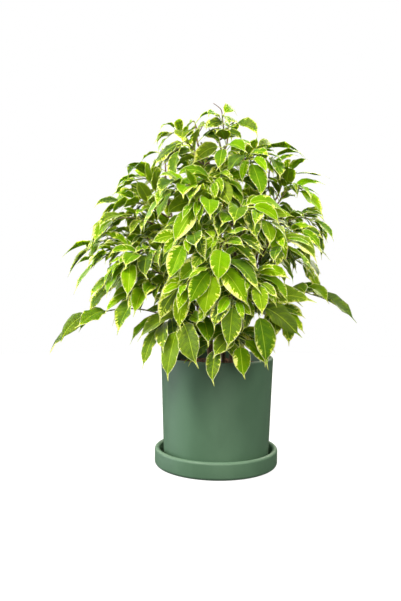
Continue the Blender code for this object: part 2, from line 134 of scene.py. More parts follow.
def new_piece(name, points, faces, material, sharp_above=180):
    """A smooth-shaded object of these points and faces, with edges kept sharp above an angle in degrees."""
    mesh = bpy.data.meshes.new(name)
    mesh.from_pydata(np.asarray(points).tolist(), [], faces)
    mesh.validate()
    mesh.shade_smooth()
    mesh.set_sharp_from_angle(angle=math.radians(sharp_above))
    mesh.materials.append(material)
    return in_scene(name, mesh)


def new_finish(name):
    """A new material, with its node tree and its Principled shader."""
    material = bpy.data.materials.new(name)
    material.use_nodes = True
    return material, material.node_tree, material.node_tree.nodes["Principled BSDF"]


def node(tree, kind, inputs=None, **settings):
    """A node with its settings. Of its inputs, given by name or number, sockets are linked, values set."""
    made = tree.nodes.new("ShaderNode" + kind)
    for key, value in settings.items():
        setattr(made, key, value)
    for key, value in (inputs or {}).items():
        if isinstance(value, bpy.types.NodeSocket):
            tree.links.new(value, made.inputs[key])
        else:
            made.inputs[key].default_value = value
    return made


def attribute(tree, name, output="Fac"):
    """A value that give() stored on the piece."""
    return node(tree, "Attribute", attribute_name=name).outputs[output]


def calc(tree, operation, *values):
    """The result of a Math node, with its result kept from 0 to 1 if the operation's name ends in a star."""
    clamp = operation.endswith("*")
    settings = {"operation": operation.rstrip("*"), "use_clamp": clamp}
    return node(tree, "Math", dict(enumerate(values)), **settings).outputs[0]


def noise(tree, vector, scale, detail=2.0, roughness=0.5, stretch=(1, 1, 1)):
    """A noise from about 0.2 to 0.8 with this many cells a metre, stretched along its axes."""
    placed = node(tree, "Mapping", {"Vector": vector, "Scale": tuple(scale * s for s in stretch)})
    settings = {"Vector": placed.outputs[0], "Scale": 1.0, "Detail": detail, "Roughness": roughness}
    return node(tree, "TexNoise", settings).outputs[0]


def between(tree, value, low, high):
    """0 below low, 1 above high, and a smooth step from one to the other."""
    settings = {"Value": value, "From Min": low, "From Max": high}
    return node(tree, "MapRange", settings, interpolation_type="SMOOTHSTEP").outputs[0]


def shade(tree, share, first, second, strength=None):
    """The first colour at share 0 and the second at share 1, or only this strength of it."""
    if strength:
        share = calc(tree, "MULTIPLY", share, strength)
    mix = node(tree, "Mix", {0: share, 6: first, 7: second}, data_type="RGBA")
    return mix.outputs[2]


def coated(tree, shader, colour, rough):
    """Gives the shader its colour and its roughness."""
    tree.links.new(colour, shader.inputs["Base Color"])
    tree.links.new(rough, shader.inputs["Roughness"])


def bumped(tree, shader, height, distance, strength=1.0):
    """Turns a height from 0 to 1 into a relief this deep, and gives it to the shader."""
    settings = {"Height": height, "Distance": distance, "Strength": strength}
    tree.links.new(node(tree, "Bump", settings).outputs[0], shader.inputs["Normal"])


def matte_glaze(name, rim_z, foot_z):
    """Matte sage glaze: cloudy in tone, peppered with fine specks, thinner and paler on rim and heel."""
    material, tree, shader = new_finish(name)
    place = node(tree, "TexCoord").outputs["Object"]
    z = node(tree, "SeparateXYZ", {0: place}).outputs[2]
    cloud = noise(tree, place, 28.0, detail=3.0, stretch=(1, 1, 0.6))
    colour = shade(tree, between(tree, cloud, 0.35, 0.65), SAGE_DEEP, SAGE)
    rim = between(tree, z, rim_z - 0.0035, rim_z)
    heel = calc(tree, "SUBTRACT", 1.0, between(tree, z, foot_z, foot_z + 0.0030))
    worn = calc(tree, "MULTIPLY", calc(tree, "MAXIMUM", rim, heel), noise(tree, place, 160.0))
    colour = shade(tree, calc(tree, "MULTIPLY*", worn, 1.1), colour, SAGE_THIN)
    grain = noise(tree, place, 1400.0)
    speck = between(tree, grain, 0.66, 0.72)
    colour = shade(tree, speck, colour, (0.045, 0.085, 0.055, 1.0), 0.35)
    coated(tree, shader, colour, calc(tree, "MULTIPLY_ADD", cloud, 0.16, 0.48))
    shader.inputs["IOR"].default_value = 1.5
    relief = calc(tree, "MULTIPLY_ADD", noise(tree, place, 110.0), 2.0, grain)
    bumped(tree, shader, relief, 0.00010, 0.6)
    return material


saucer_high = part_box("saucer")[1]
saucer_radius = saucer_high.x
lip = SAUCER_WALL / 2
inner = saucer_radius - SAUCER_WALL
hollow = 0.0030
profile = np.vstack([
    straight((0.010, 0), (saucer_radius - SAUCER_HEEL - 0.001, 0), 5),
    arc((saucer_radius - SAUCER_HEEL, SAUCER_HEEL), SAUCER_HEEL, -90, 0, 8),
    arc((saucer_radius - lip, saucer_high.z - lip), lip, 0, 180, 16),
    arc((inner - hollow, SAUCER_FLOOR + hollow), hollow, 0, -90, 6),
    straight((inner - hollow - 0.004, SAUCER_FLOOR), (0.010, SAUCER_FLOOR), 5),
])
saucer = new_piece("glazed_saucer", *turned(profile, False), matte_glaze("glaze_saucer", saucer_high.z, 0))
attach(saucer, "root")
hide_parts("saucer")


# ---- Pot ----------------------------------------------------------------------------------------------
# A straight-sided stoneware pot, a touch wider at its rim, with a foot ring and one drain hole. It is
# cast and glazed like the saucer, inside and out, and its rim is a full round.

POT_WALL = 0.0060
POT_FLOOR = 0.0080
POT_HEEL = 0.0040
POT_RIM_RADIUS = 0.0750
POT_BASE_RADIUS = 0.0700
FOOT_WIDTH = 0.0110
FOOT_HEIGHT = 0.0025
DRAIN_RADIUS = 0.0070

pot_low, pot_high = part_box("pot")
floor_z = pot_low.z + POT_FLOOR


def pot_radius(z):
    """The pot's outer radius at a height: it widens evenly from its base to its rim."""
    share = (z - pot_low.z) / (pot_high.z - pot_low.z)
    return POT_BASE_RADIUS + share * (POT_RIM_RADIUS - POT_BASE_RADIUS)


side_from = 0.03
side_to = 0.12
ledge_z = pot_low.z + FOOT_HEIGHT
foot_inside = POT_BASE_RADIUS - FOOT_WIDTH
foot_edge = 0.0008
drain = DRAIN_RADIUS + foot_edge
lip = POT_WALL / 2
inner = pot_radius(floor_z) - POT_WALL
profile = np.vstack([
    straight((drain, ledge_z), (foot_inside - foot_edge, ledge_z), 6),
    arc((foot_inside + foot_edge, pot_low.z + foot_edge), foot_edge, 180, 270, 3),
    arc((pot_radius(pot_low.z) - POT_HEEL, pot_low.z + POT_HEEL), POT_HEEL, -90, 0, 8),
    straight((pot_radius(side_from), side_from), (pot_radius(side_to), side_to), 6),
    arc((POT_RIM_RADIUS - lip, pot_high.z - lip), lip, 0, 180, 16),
    arc((inner - hollow, floor_z + hollow), hollow, 0, -90, 6),
    straight((inner - 2 * hollow, floor_z), (drain, floor_z), 4),
    arc((drain, floor_z - foot_edge), foot_edge, 90, 180, 3),
    arc((drain, ledge_z + foot_edge), foot_edge, 180, 270, 3)[:-1],
])
pot = new_piece("glazed_pot", *turned(profile, True), matte_glaze("glaze_pot", pot_high.z, pot_low.z))
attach(pot, "root")
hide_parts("pot")


# ---- Potting mix --------------------------------------------------------------------------------------
# Damp peat and composted bark pressed into the pot, a little crowned, its surface crumbly. It stops about
# a centimetre below the rim to leave room for watering.

MIX_CRUMB = 0.0011
MIX_CROWN = 0.0025
MIX_SINKS = 0.0012
MIX_RINGS = 44

mix_low, mix_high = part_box("potting_mix")
mix_radius = mix_high.x - 0.0003


def rough_height(x, y, seed, waves=40, longest=0.016, shortest=0.0028):
    """An uneven height from about -1 to 1: cosine waves in random directions, the longer the higher."""
    draw = np.random.default_rng(seed)
    length = np.geomspace(shortest, longest, waves)
    way = draw.uniform(0, 2 * math.pi, waves)
    phase = draw.uniform(0, 2 * math.pi, waves)
    across = (np.cos(way) * x[..., None] + np.sin(way) * y[..., None]) / length
    weight = length**0.5
    return (np.cos(2 * math.pi * across + phase) * weight).sum(-1) / (weight**2).sum() ** 0.5


def mix_height(x, y):
    """The mix's surface: a low crown, crumbly all over, sinking slightly by the pot's wall."""
    share = np.hypot(x, y) / mix_radius
    crown = mix_high.z - MIX_CROWN * share**2 - MIX_SINKS * share**12
    return crown + MIX_CRUMB * rough_height(x, y, 11) - MIX_CRUMB


def crumbly_mix():
    """Peat from near black to red brown, with paler grains, rough and quite without gloss."""
    material, tree, shader = new_finish("damp_peat")
    place = node(tree, "TexCoord").outputs["Object"]
    lump = noise(tree, place, 240.0, detail=4.0, roughness=0.6)
    colour = shade(tree, between(tree, lump, 0.36, 0.62), (0.012, 0.007, 0.004, 1), (0.085, 0.036, 0.018, 1))
    fleck = between(tree, noise(tree, place, 900.0, detail=1.0), 0.62, 0.70)
    colour = shade(tree, fleck, colour, (0.20, 0.115, 0.065, 1), 0.6)
    coated(tree, shader, colour, calc(tree, "MULTIPLY_ADD", lump, 0.3, 0.7))
    bumped(tree, shader, noise(tree, place, 700.0, detail=4.0, roughness=0.7), 0.0006)
    return material


profile = np.vstack([
    straight((0.004, mix_low.z), (inner - 0.0045, mix_low.z), 3),
    straight((inner - 0.001, mix_low.z + 0.005), (mix_radius, mix_high.z - 0.006), 4),
    np.stack([np.linspace(mix_radius, 0.001, MIX_RINGS), np.full(MIX_RINGS, mix_high.z)], axis=1),
])
points, faces = turned(profile, False)
on_top = points[:, 2] > mix_high.z - 0.001
points[on_top, 2] = mix_height(points[on_top, 0], points[on_top, 1])
mix = new_piece("crumbly_mix", points, faces, crumbly_mix())
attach(mix, "root")
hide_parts("potting_mix")


# ---- Bark chips and coir fibres -----------------------------------------------------------------------
# Bits of pine bark and strands of coconut fibre that lie loose on the mix, mixed in when it was bagged.
# They are scattered evenly over the surface, each at its own angle, half sunk.

CHIPS = 520
FIBRES = 150
CHIP_SIDES = 7
CHIP_HALVES = ((0.0013, 0.0042), (0.0008, 0.0020), (0.00035, 0.00090))
CHIP_LIFT = 0.0004
FIBRE_RINGS = 9
FIBRE_SIDES = 4
FIBRE_RADIUS = 0.00022


def repeated(faces, size, count):
    """The faces of this many copies of a body that has size points."""
    return [[p + n * size for p in face] for n in range(count) for face in faces]


def tube_faces(rings, sides):
    """The faces of a tube: its quads, then one face over its first ring and one over its last."""
    last = (rings - 1) * sides
    ends = [list(range(sides))[::-1], list(range(last, last + sides))]
    return grid_quads(rings, sides).tolist() + ends


def turns(yaw, pitch):
    """For each pair of angles, the matrix that tips about Y by the pitch, then turns about Z by the yaw."""
    c, s, one, zero = np.cos(yaw), np.sin(yaw), np.ones_like(yaw), np.zeros_like(yaw)
    about_z = np.stack([c, -s, zero, s, c, zero, zero, zero, one], axis=-1).reshape(-1, 3, 3)
    c, s = np.cos(pitch), np.sin(pitch)
    about_y = np.stack([c, zero, s, zero, one, zero, -s, zero, c], axis=-1).reshape(-1, 3, 3)
    return about_z @ about_y


def scattered(count, seed, reach):
    """Places on the mix within a radius, evenly spread: a sunflower's spiral, each a little off it."""
    draw = np.random.default_rng(seed)
    turn = np.arange(count) * math.radians(137.5)
    r = reach * np.sqrt((np.arange(count) + 0.5) / count)
    x = r * np.cos(turn) + draw.normal(0, 0.0015, count)
    y = r * np.sin(turn) + draw.normal(0, 0.0015, count)
    return x, y, draw


def give(piece, name, values, kind="FLOAT", domain="POINT"):
    """Stores one value for each point or face of a piece under a name, for its material to read."""
    layer = piece.data.attributes.new(name, kind, domain)
    key = "vector" if kind == "FLOAT_VECTOR" else "value"
    layer.data.foreach_set(key, np.asarray(values, np.float32).ravel())


def bark_bits():
    """Bark bits, each its own brown from near black to tan, with a fibrous grain along it."""
    material, tree, shader = new_finish("bark_bits")
    place = node(tree, "TexCoord").outputs["Object"]
    own = attribute(tree, "own")
    colour = shade(tree, between(tree, own, 0.0, 0.7), (0.030, 0.012, 0.007, 1), (0.280, 0.080, 0.032, 1))
    colour = shade(tree, between(tree, own, 0.80, 1.0), colour, (0.36, 0.19, 0.09, 1))
    grain = noise(tree, place, 900.0, detail=3.0)
    colour = shade(tree, between(tree, grain, 0.45, 0.75), colour, (0.018, 0.009, 0.005, 1))
    coated(tree, shader, colour, calc(tree, "MULTIPLY_ADD", grain, 0.3, 0.62))
    bumped(tree, shader, grain, 0.0004)
    return material


def bark_chips():
    """Chips: rings of a lens at levels -1 to 1, its corners pushed in and out, then sized and tipped."""
    x, y, draw = scattered(CHIPS, 21, mix_radius - 0.004)
    level = np.array([-0.85, 0.0, 0.85])
    spread = np.array([0.62, 1.0, 0.58])
    a = np.arange(CHIP_SIDES) * 2 * math.pi / CHIP_SIDES
    spread, level = spread[:, None], level[:, None]
    rings = np.stack([spread * np.cos(a), spread * np.sin(a), level + 0 * a], axis=-1)
    body = np.vstack([rings.reshape(-1, 3), [[0, 0, -1], [0, 0, 1]]])
    shape = body * draw.uniform(0.72, 1.22, (CHIPS, len(body), 1))
    half = np.stack([draw.uniform(low, high, CHIPS) for low, high in CHIP_HALVES], axis=-1)
    turn = turns(draw.uniform(0, 7, CHIPS), draw.normal(0, 0.22, CHIPS))
    placed = np.einsum("nij,npj->npi", turn, shape * half[:, None])
    placed += np.stack([x, y, mix_height(x, y) + CHIP_LIFT], axis=-1)[:, None]
    one = grid_quads(3, CHIP_SIDES).tolist() + fans(CHIP_SIDES, 2 * CHIP_SIDES, 3 * CHIP_SIDES)
    faces = repeated(one, len(body), CHIPS)
    made = new_piece("bark_chips", placed.reshape(-1, 3), faces, bark_bits(), sharp_above=50)
    give(made, "own", np.repeat(draw.uniform(0, 1, CHIPS), len(body)))
    return made


def coir_fibres():
    """Fibres: thin square tubes along shallow arcs that start and end in the mix."""
    x, y, draw = scattered(FIBRES, 31, mix_radius - 0.012)
    t = np.linspace(-1, 1, FIBRE_RINGS)
    length = draw.uniform(0.004, 0.013, FIBRES)[:, None]
    way = draw.uniform(0, 2 * math.pi, FIBRES)[:, None]
    bend = draw.normal(0, 0.35, FIBRES)[:, None]
    along = length * t
    aside = length * bend * (1 - t**2)
    c, s = np.cos(way), np.sin(way)
    px = x[:, None] + c * along - s * aside
    py = y[:, None] + s * along + c * aside
    pz = mix_height(px, py) + 0.0012 * (1 - t**4) + draw.uniform(-0.0002, 0.0010, FIBRES)[:, None]
    centre = np.stack([px, py, pz], axis=-1)[:, :, None]
    radius = FIBRE_RADIUS * (1.1 - t**2)[None, :, None, None]
    a = np.arange(FIBRE_SIDES) * math.pi / 2
    across = np.stack([-s * np.cos(a), c * np.cos(a), np.sin(a) + 0 * way], axis=-1)
    points = (centre + radius * across[:, None]).reshape(-1, 3)
    size = FIBRE_RINGS * FIBRE_SIDES
    faces = repeated(tube_faces(FIBRE_RINGS, FIBRE_SIDES), size, FIBRES)
    made = new_piece("coir_fibres", points, faces, bark_bits())
    give(made, "own", np.repeat(draw.uniform(0.6, 1.0, FIBRES), size))
    return made


for scrap in (bark_chips(), coir_fibres()):
    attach(scrap, "root")


# ---- Stems --------------------------------------------------------------------------------------------
# Six woody stems rooted in the mix and grown up together. Their bark is grey brown, faintly ridged, with
# pale pores and a swollen ring where each old leaf fell.

STEM_RINGS = 12
BARK_SIDES = 20
BARK_RINGS = 150

# The points that each stem's centreline passes, from its rooted foot to its tip, and its two radii, in mm.
STEMS = [
    ([(4, 2, 93), (4, 1, 200), (2, 0, 313), (5, 0, 357), (-15, 0, 402), (-29, 2, 440)], 4.2, 1.2),
    ([(18, -4, 93), (22, -3, 230), (20, -2, 330), (6, -2, 400), (-4, 0, 444)], 3.6, 1.1),
    ([(26, 10, 93), (32, 9, 170), (50, 5, 270), (70, 1, 372)], 3.4, 1.2),
    ([(-4, -12, 93), (-15, -13, 180), (-31, -12, 222), (-56, -8, 300), (-70, 2, 368)], 3.4, 1.2),
    ([(6, -26, 93), (8, -42, 190), (13, -64, 260), (12, -78, 322)], 3.2, 1.2),
    ([(-8, 24, 93), (-8, 40, 190), (-12, 62, 280), (-8, 76, 352)], 3.4, 1.2),
]


def unit(v):
    """The vectors at length 1."""
    return v / np.linalg.norm(v, axis=-1, keepdims=True)


def read_at(place, places, vectors):
    """The vector at a place, or at each of several, between those known at other places."""
    return np.stack([np.interp(place, places, vectors[:, k]) for k in range(3)], axis=-1)


def spaced(line, count):
    """The line as count points evenly spaced along it."""
    along = np.r_[0, np.cumsum(np.linalg.norm(np.diff(line, axis=0), axis=1))]
    return read_at(np.linspace(0, along[-1], count), along, line)


def through(points, count):
    """A Catmull-Rom curve through the points, as count points evenly spaced along it."""
    knots = np.array(points, float)
    knots = np.vstack([2 * knots[0] - knots[1], knots, 2 * knots[-1] - knots[-2]])
    t = np.linspace(0, 1, 24, endpoint=False)[:, None]
    runs = []
    for a, b, c, d in zip(knots, knots[1:], knots[2:], knots[3:]):
        runs.append(b + 0.5 * t * (c - a + t * (2 * a - 5 * b + 4 * c - d + t * (3 * (b - c) + d - a))))
    return spaced(np.vstack([*runs, knots[-2:-1]]), count)


def carried(side, along):
    """A side vector carried along a line's directions without twist, one for each."""
    sides = []
    for direction in along:
        side = unit(side - direction * (side @ direction))
        sides.append(side)
    return np.array(sides)


def tube(line, radius, sides):
    """Points and faces of a tube: round each point, radius * (cos a * side + sin a * up), the ends closed.

    The radius is one number a ring, or one a ring and side. The side vector is carried along untwisted.
    """
    along = unit(np.gradient(line, axis=0))
    across = carried(unit(np.cross(along[0], (0.3, 0.9, 0.1))), along)[:, None]
    up = np.cross(along, across[:, 0])[:, None]
    a = np.linspace(0, 2 * math.pi, sides, endpoint=False)[None, :, None]
    radius = np.asarray(radius).reshape(len(line), -1, 1)
    points = line[:, None] + radius * (np.cos(a) * across + np.sin(a) * up)
    return points.reshape(-1, 3), tube_faces(len(line), sides)


def bark(name):
    """Young fig bark: brown with a grey bloom, fine ridges lengthwise, pale pores; green where it is new."""
    material, tree, shader = new_finish(name)
    place = node(tree, "TexCoord").outputs["Object"]
    young = attribute(tree, "young")
    streak = noise(tree, place, 420.0, detail=4.0, roughness=0.6, stretch=(1, 1, 0.25))
    ridge = between(tree, streak, 0.35, 0.65)
    colour = shade(tree, ridge, (0.065, 0.027, 0.014, 1), (0.210, 0.105, 0.055, 1))
    bloom = between(tree, noise(tree, place, 60.0), 0.45, 0.70)
    colour = shade(tree, bloom, colour, (0.21, 0.17, 0.12, 1), 0.45)
    pores = between(tree, noise(tree, place, 620.0, detail=0.0, stretch=(1, 1, 1.6)), 0.68, 0.74)
    colour = shade(tree, pores, colour, (0.36, 0.28, 0.19, 1), 0.7)
    colour = shade(tree, between(tree, young, 0.45, 1.0), colour, (0.150, 0.200, 0.040, 1))
    coated(tree, shader, colour, calc(tree, "MULTIPLY_ADD", streak, 0.3, 0.45))
    relief = calc(tree, "MULTIPLY_ADD", pores, 0.5, streak)
    bumped(tree, shader, relief, 0.0004, 0.8)
    return material


stem_bark = bark("stem_bark")


def stem_line(stem):
    """A stem's centreline and its radius at each ring."""
    points, foot_radius, tip_radius = stem
    radius = np.linspace(foot_radius, tip_radius, STEM_RINGS) / 1000
    return through(np.array(points) / 1000, STEM_RINGS), radius


def stem_at(stem, z):
    """The point of a stem's centreline at a height, with the stem's direction and radius there."""
    line, radius = stem_line(stem)
    segment = np.clip(np.searchsorted(line[:, 2], z), 1, len(line) - 1)
    along = unit(line[segment] - line[segment - 1])
    return read_at(z, line[:, 2], line), along, np.interp(z, line[:, 2], radius)


def woody_stem(number, stem):
    """A stem: a tapered tube that flares at the mix, with a swollen ring every 14 to 24 mm, a bit uneven."""
    foot_radius, tip_radius = stem[1:]
    draw = np.random.default_rng([41, number])
    line = spaced(stem_line(stem)[0], BARK_RINGS)
    line = through(line[::9], BARK_RINGS)
    run = np.linspace(0, 1, BARK_RINGS) * np.linalg.norm(np.diff(line, axis=0), axis=1).sum()
    radius = np.linspace(foot_radius, tip_radius, BARK_RINGS) / 1000
    scars = np.cumsum(draw.uniform(0.014, 0.024, 40))
    swelling = np.exp(-(((run[:, None] - scars) / 0.0011) ** 2)).sum(1)
    flare = 0.35 * np.exp(-((np.maximum(line[:, 2] - mix_high.z, 0) / 0.012) ** 1.2))
    a = np.linspace(0, 2 * math.pi, BARK_SIDES, endpoint=False)
    uneven = 0.05 * np.cos(3 * a + run[:, None] * 60) + 0.04 * np.cos(2 * a - run[:, None] * 37 + number)
    flare = flare[:, None] * (1 + 0.4 * np.cos(5 * a))
    radius = radius[:, None] * (1 + 0.10 * swelling[:, None] + flare + uneven)
    points, faces = tube(line, radius, BARK_SIDES)
    made = new_piece(f"woody_stem_{number}", points, faces, stem_bark)
    give(made, "young", np.repeat(0.75 * (run / run[-1]) ** 3, BARK_SIDES))
    return made


for number, stem in enumerate(STEMS, 1):
    wood = woody_stem(number, stem)
    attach(wood, "root")
    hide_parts(f"stem_{number}")


# ---- Twigs --------------------------------------------------------------------------------------------
# Slender side shoots that leave their stem level, climb and then weep. Their bark goes from brown to green
# towards the tip, with a ring at each leaf, and each tip ends in a pointed bud.

GAP = 0.0003
TWIG_BASE_THICKNESS = 0.0030
TWIG_TIP_THICKNESS = 0.0016
TWIG_POINTS = 49
TWIG_SIDES = 8
TWIG_COLLAR = 0.0030
SETS_OUT = 0.30
COMES_DOWN = 0.36
LIFT_HEIGHTS = (0.20, 0.45)
LIFT_SHARES = (0.34, 0.10)
SWAYS = (0, 0.08, -0.08, 0.16, -0.16, 0.24, -0.24)
BARE_SHARE = 0.14
BARE_SHARES = {18: 0.80, 43: 0.66}
LEAF_SPACING = 0.0066
SLIMMER = 0.80
BUD_LENGTH = 0.0085
MATCH = 0.0001

# Each twig: its stem, the height at which it leaves it and the place of its tip, in millimetres; its leaves'
# size, as a share of a full leaf's; and how steeply its tip weeps.
TWIGS = [
    # crown
    (2, 432, (3, -8, 461), 0.64, 0.3),
    (2, 418, (14, -12, 450), 0.98, 0.1),
    (2, 396, (54, -4, 416), 0.98, -0.6),
    (1, 422, (-38, 0, 455), 0.66, 1.0),
    (1, 402, (-66, 6, 440), 0.60, 0.8),
    (1, 388, (-50, -44, 415), 1.02, 2.6),
    (2, 386, (4, -44, 414), 0.85, 0.8),
    (2, 364, (36, -54, 396), 1.05, 1.1),
    (3, 364, (66, -26, 404), 0.95, 0.3),
    (3, 352, (96, 0, 388), 0.90, 0.0),
    (4, 356, (-80, 2, 414), 0.95, 1.3),
    # left
    (4, 346, (-104, -6, 378), 0.95, 0.5),
    (4, 330, (-130, 4, 344), 1.00, 0.7),
    (4, 308, (-144, -20, 318), 1.00, 0.8),
    (4, 286, (-166, 8, 290), 1.05, 0.8),
    (4, 264, (-150, -46, 270), 1.02, 0.9),
    (4, 238, (-128, -30, 246), 1.10, 1.0),
    (4, 164, (-172, -34, 194), 1.28, 0.5),
    (4, 180, (-72, -72, 190), 0.98, 1.2),
    (4, 214, (-100, -70, 226), 1.08, 1.0),
    (4, 250, (-112, -80, 264), 1.05, 0.9),
    # front
    (5, 310, (-60, -82, 352), 1.12, 1.0),
    (1, 332, (-12, -66, 362), 1.05, 1.0),
    (5, 316, (-26, -98, 336), 1.05, 1.2),
    (5, 314, (30, -96, 332), 1.00, 1.2),
    (5, 270, (-42, -106, 292), 1.05, 1.1),
    (5, 278, (2, -120, 286), 1.00, 1.3),
    (5, 228, (-40, -106, 240), 1.05, 1.2),
    (5, 246, (-7, -124, 258), 1.25, 2.4),
    (5, 206, (14, -122, 222), 1.00, 1.2),
    (5, 182, (-48, -98, 192), 1.22, 3.2),
    (5, 162, (-4, -96, 168), 0.92, 1.3),
    (5, 170, (24, -98, 174), 0.96, 1.4),
    # right
    (5, 296, (54, -88, 316), 1.05, 1.2),
    (3, 256, (72, -88, 286), 1.34, 2.2),
    (5, 224, (40, -118, 244), 1.00, 1.2),
    (5, 194, (44, -110, 211), 1.46, 2.4),
    (3, 188, (76, -80, 204), 0.82, 0.8),
    (3, 334, (97, -22, 365), 1.00, 0.4),
    (3, 310, (122, -14, 322), 0.86, 1.9),
    (3, 286, (98, -48, 300), 1.00, 1.0),
    (3, 246, (104, -14, 272), 1.05, 0.9),
    (3, 206, (120, -30, 229), 1.26, 0.45),
    # back
    (6, 346, (-4, 58, 404), 1.00, 0.4),
    (6, 330, (54, 70, 364), 1.05, 0.7),
    (6, 316, (-60, 76, 360), 1.05, 0.7),
    (6, 292, (14, 116, 326), 1.08, 0.9),
    (6, 276, (-94, 72, 304), 1.08, 0.8),
    (6, 262, (88, 78, 286), 1.12, 0.8),
    (6, 232, (-66, 104, 258), 1.10, 1.0),
    (6, 200, (20, 116, 226), 1.08, 1.0),
]


def node_points(name):
    """The points of a CAD node's mesh."""
    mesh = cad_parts[name].data
    points = np.empty(len(mesh.vertices) * 3, np.float32)
    mesh.vertices.foreach_get("co", points)
    return points.reshape(-1, 3).astype(float)


def twig_line(twig, sway):
    """A twig's centreline: it leaves its stem at a right angle, climbs, and weeps towards its tip."""
    stem_number, seat_z, tip, _, weep = twig
    seat, along, radius = stem_at(STEMS[stem_number - 1], seat_z / 1000)
    tip = np.array(tip) / 1000
    out = tip - seat
    out = unit(out - along * (out @ along))
    start = seat + out * (radius + GAP)
    collar = start + out * TWIG_COLLAR
    reach = np.linalg.norm(tip - collar)
    level = unit((tip - collar) * (1, 1, 0))
    lift = reach * (1 + abs(sway)) * np.interp(tip[2], LIFT_HEIGHTS, LIFT_SHARES)
    aside = np.cross(level, (0, 0, 1)) * sway * reach
    towards = unit(level - (0, 0, weep))
    a = collar
    b = collar + out * reach * SETS_OUT + (0, 0, lift) + aside
    c = tip - towards * reach * COMES_DOWN + aside
    d = tip
    t = np.linspace(0, 1, TWIG_POINTS)[:, None]
    bend = (1 - t) ** 3 * a + 3 * (1 - t) ** 2 * t * b + 3 * (1 - t) * t**2 * c + t**3 * d
    return np.vstack([start, spaced(bend, TWIG_POINTS)])


def fitted_twig_line(number, twig):
    """The centreline round which most corners of the CAD twig lie: it sways to clear others."""
    solid = node_points(f"leafy_twig_{number:02d}")

    def corners_found(line):
        corners = line + twig_thickness(line)[:, None] / 2 * twig_frames(line)[2]
        return (np.linalg.norm(corners[:, None] - solid, axis=2).min(1) < MATCH).sum()

    return max((twig_line(twig, sway) for sway in SWAYS), key=corners_found)


def twig_frames(line):
    """Each point's direction, level side vector and upward vector, carried along without twist."""
    along = unit(np.gradient(line, axis=0))
    sides = carried(unit(np.cross(along[0], (0.0, 0.0, 1.0))), along)
    return along, sides, np.cross(sides, along)


def twig_thickness(line):
    """A twig's thickness at each point, from its base to its tip."""
    return np.linspace(TWIG_BASE_THICKNESS, TWIG_TIP_THICKNESS, len(line))


def twig_nodes(number, line):
    """The places along a twig, as indices into its line, where its side leaves grow."""
    length = np.linalg.norm(np.diff(line, axis=0), axis=1).sum()
    spacing = LEAF_SPACING * TWIGS[number - 1][3]
    count = int(length * (1 - BARE_SHARES.get(number, BARE_SHARE)) / spacing + 0.5)
    shares = 1 - (np.arange(count, 0, -1) * spacing) / length
    return (shares * (len(line) - 1)).round().astype(int)


def twig_wood(number, line):
    """A twig from inside its stem to its bud: a tapered tube with a ring at each leaf, and a pointed end."""
    along, _, ups = twig_frames(line)
    inwards = line[0] - (line[1] - line[0]) * 0.6
    bud_way = unit(along[-1] + 0.35 * ups[-1])
    bud = line[-1] + bud_way * BUD_LENGTH * np.array([0.10, 0.28, 0.50, 0.75, 1.0])[:, None]
    bud_radius = np.array([0.00070, 0.00105, 0.00090, 0.00048, 0.00010])
    radius = twig_thickness(line) / 2 * SLIMMER
    rings = np.isin(np.arange(len(line)), twig_nodes(number, line))
    radius = np.r_[radius[0], radius * (1 + 0.22 * rings), bud_radius]
    young = np.r_[0, np.linspace(0, 0.95, len(line)) ** 1.6, np.full(len(bud), 1.0)]
    points, faces = tube(np.vstack([inwards, line, bud]), radius, TWIG_SIDES)
    return points, faces, np.repeat(young, TWIG_SIDES)


def joined(shapes):
    """Several (points, faces, values...) as one: the faces' numbers move up past the points before them."""
    starts = np.cumsum([0] + [len(shape[0]) for shape in shapes])
    faces = [[p + start for p in face] for shape, start in zip(shapes, starts) for face in shape[1]]
    values = [np.concatenate([shape[k] for shape in shapes]) for k in range(2, len(shapes[0]))]
    return np.vstack([shape[0] for shape in shapes]), faces, *values


twig_lines = [fitted_twig_line(number, twig) for number, twig in enumerate(TWIGS, 1)]
twig_bark = bark("twig_bark")
for stem_number in range(1, len(STEMS) + 1):
    own = [n for n, twig in enumerate(TWIGS, 1) if twig[0] == stem_number]
    points, faces, young = joined([twig_wood(n, twig_lines[n - 1]) for n in own])
    shoots = new_piece(f"twigs_of_stem_{stem_number}", points, faces, twig_bark)
    give(shoots, "young", young)
    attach(shoots, "root")
    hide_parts(*(f"leafy_twig_{n:02d}" for n in own))


# ---- Bare spurs ---------------------------------------------------------------------------------------
# Short leafless ends of wood at the head of the plant, where the last leaves fell. They are ringed with
# old leaf scars, and each ends in a bud.

SPUR_RINGS = 30
SPUR_SCARS = 0.0042

# The points that each spur passes, and its two radii, in mm.
SPURS = [
    ([(-28, 2, 437), (-30, 1, 445), (-33, 0, 453)], 1.1, 0.5),
    ([(-29, 1, 441), (-25, 0, 447), (-21, -1, 455)], 0.9, 0.5),
    ([(-2, -1, 428), (-8, -2, 437), (-10, -3, 447)], 1.1, 0.5),
    ([(-8, -2, 437), (-12, -4, 440), (-15, -6, 446)], 0.8, 0.4),
    ([(-4, 0, 442), (-2, 0, 450), (-4, 1, 458)], 1.0, 0.5),
    ([(3, -8, 460), (1, -9, 469), (-4, -9, 474), (-10, -9, 478)], 0.8, 0.35),
]


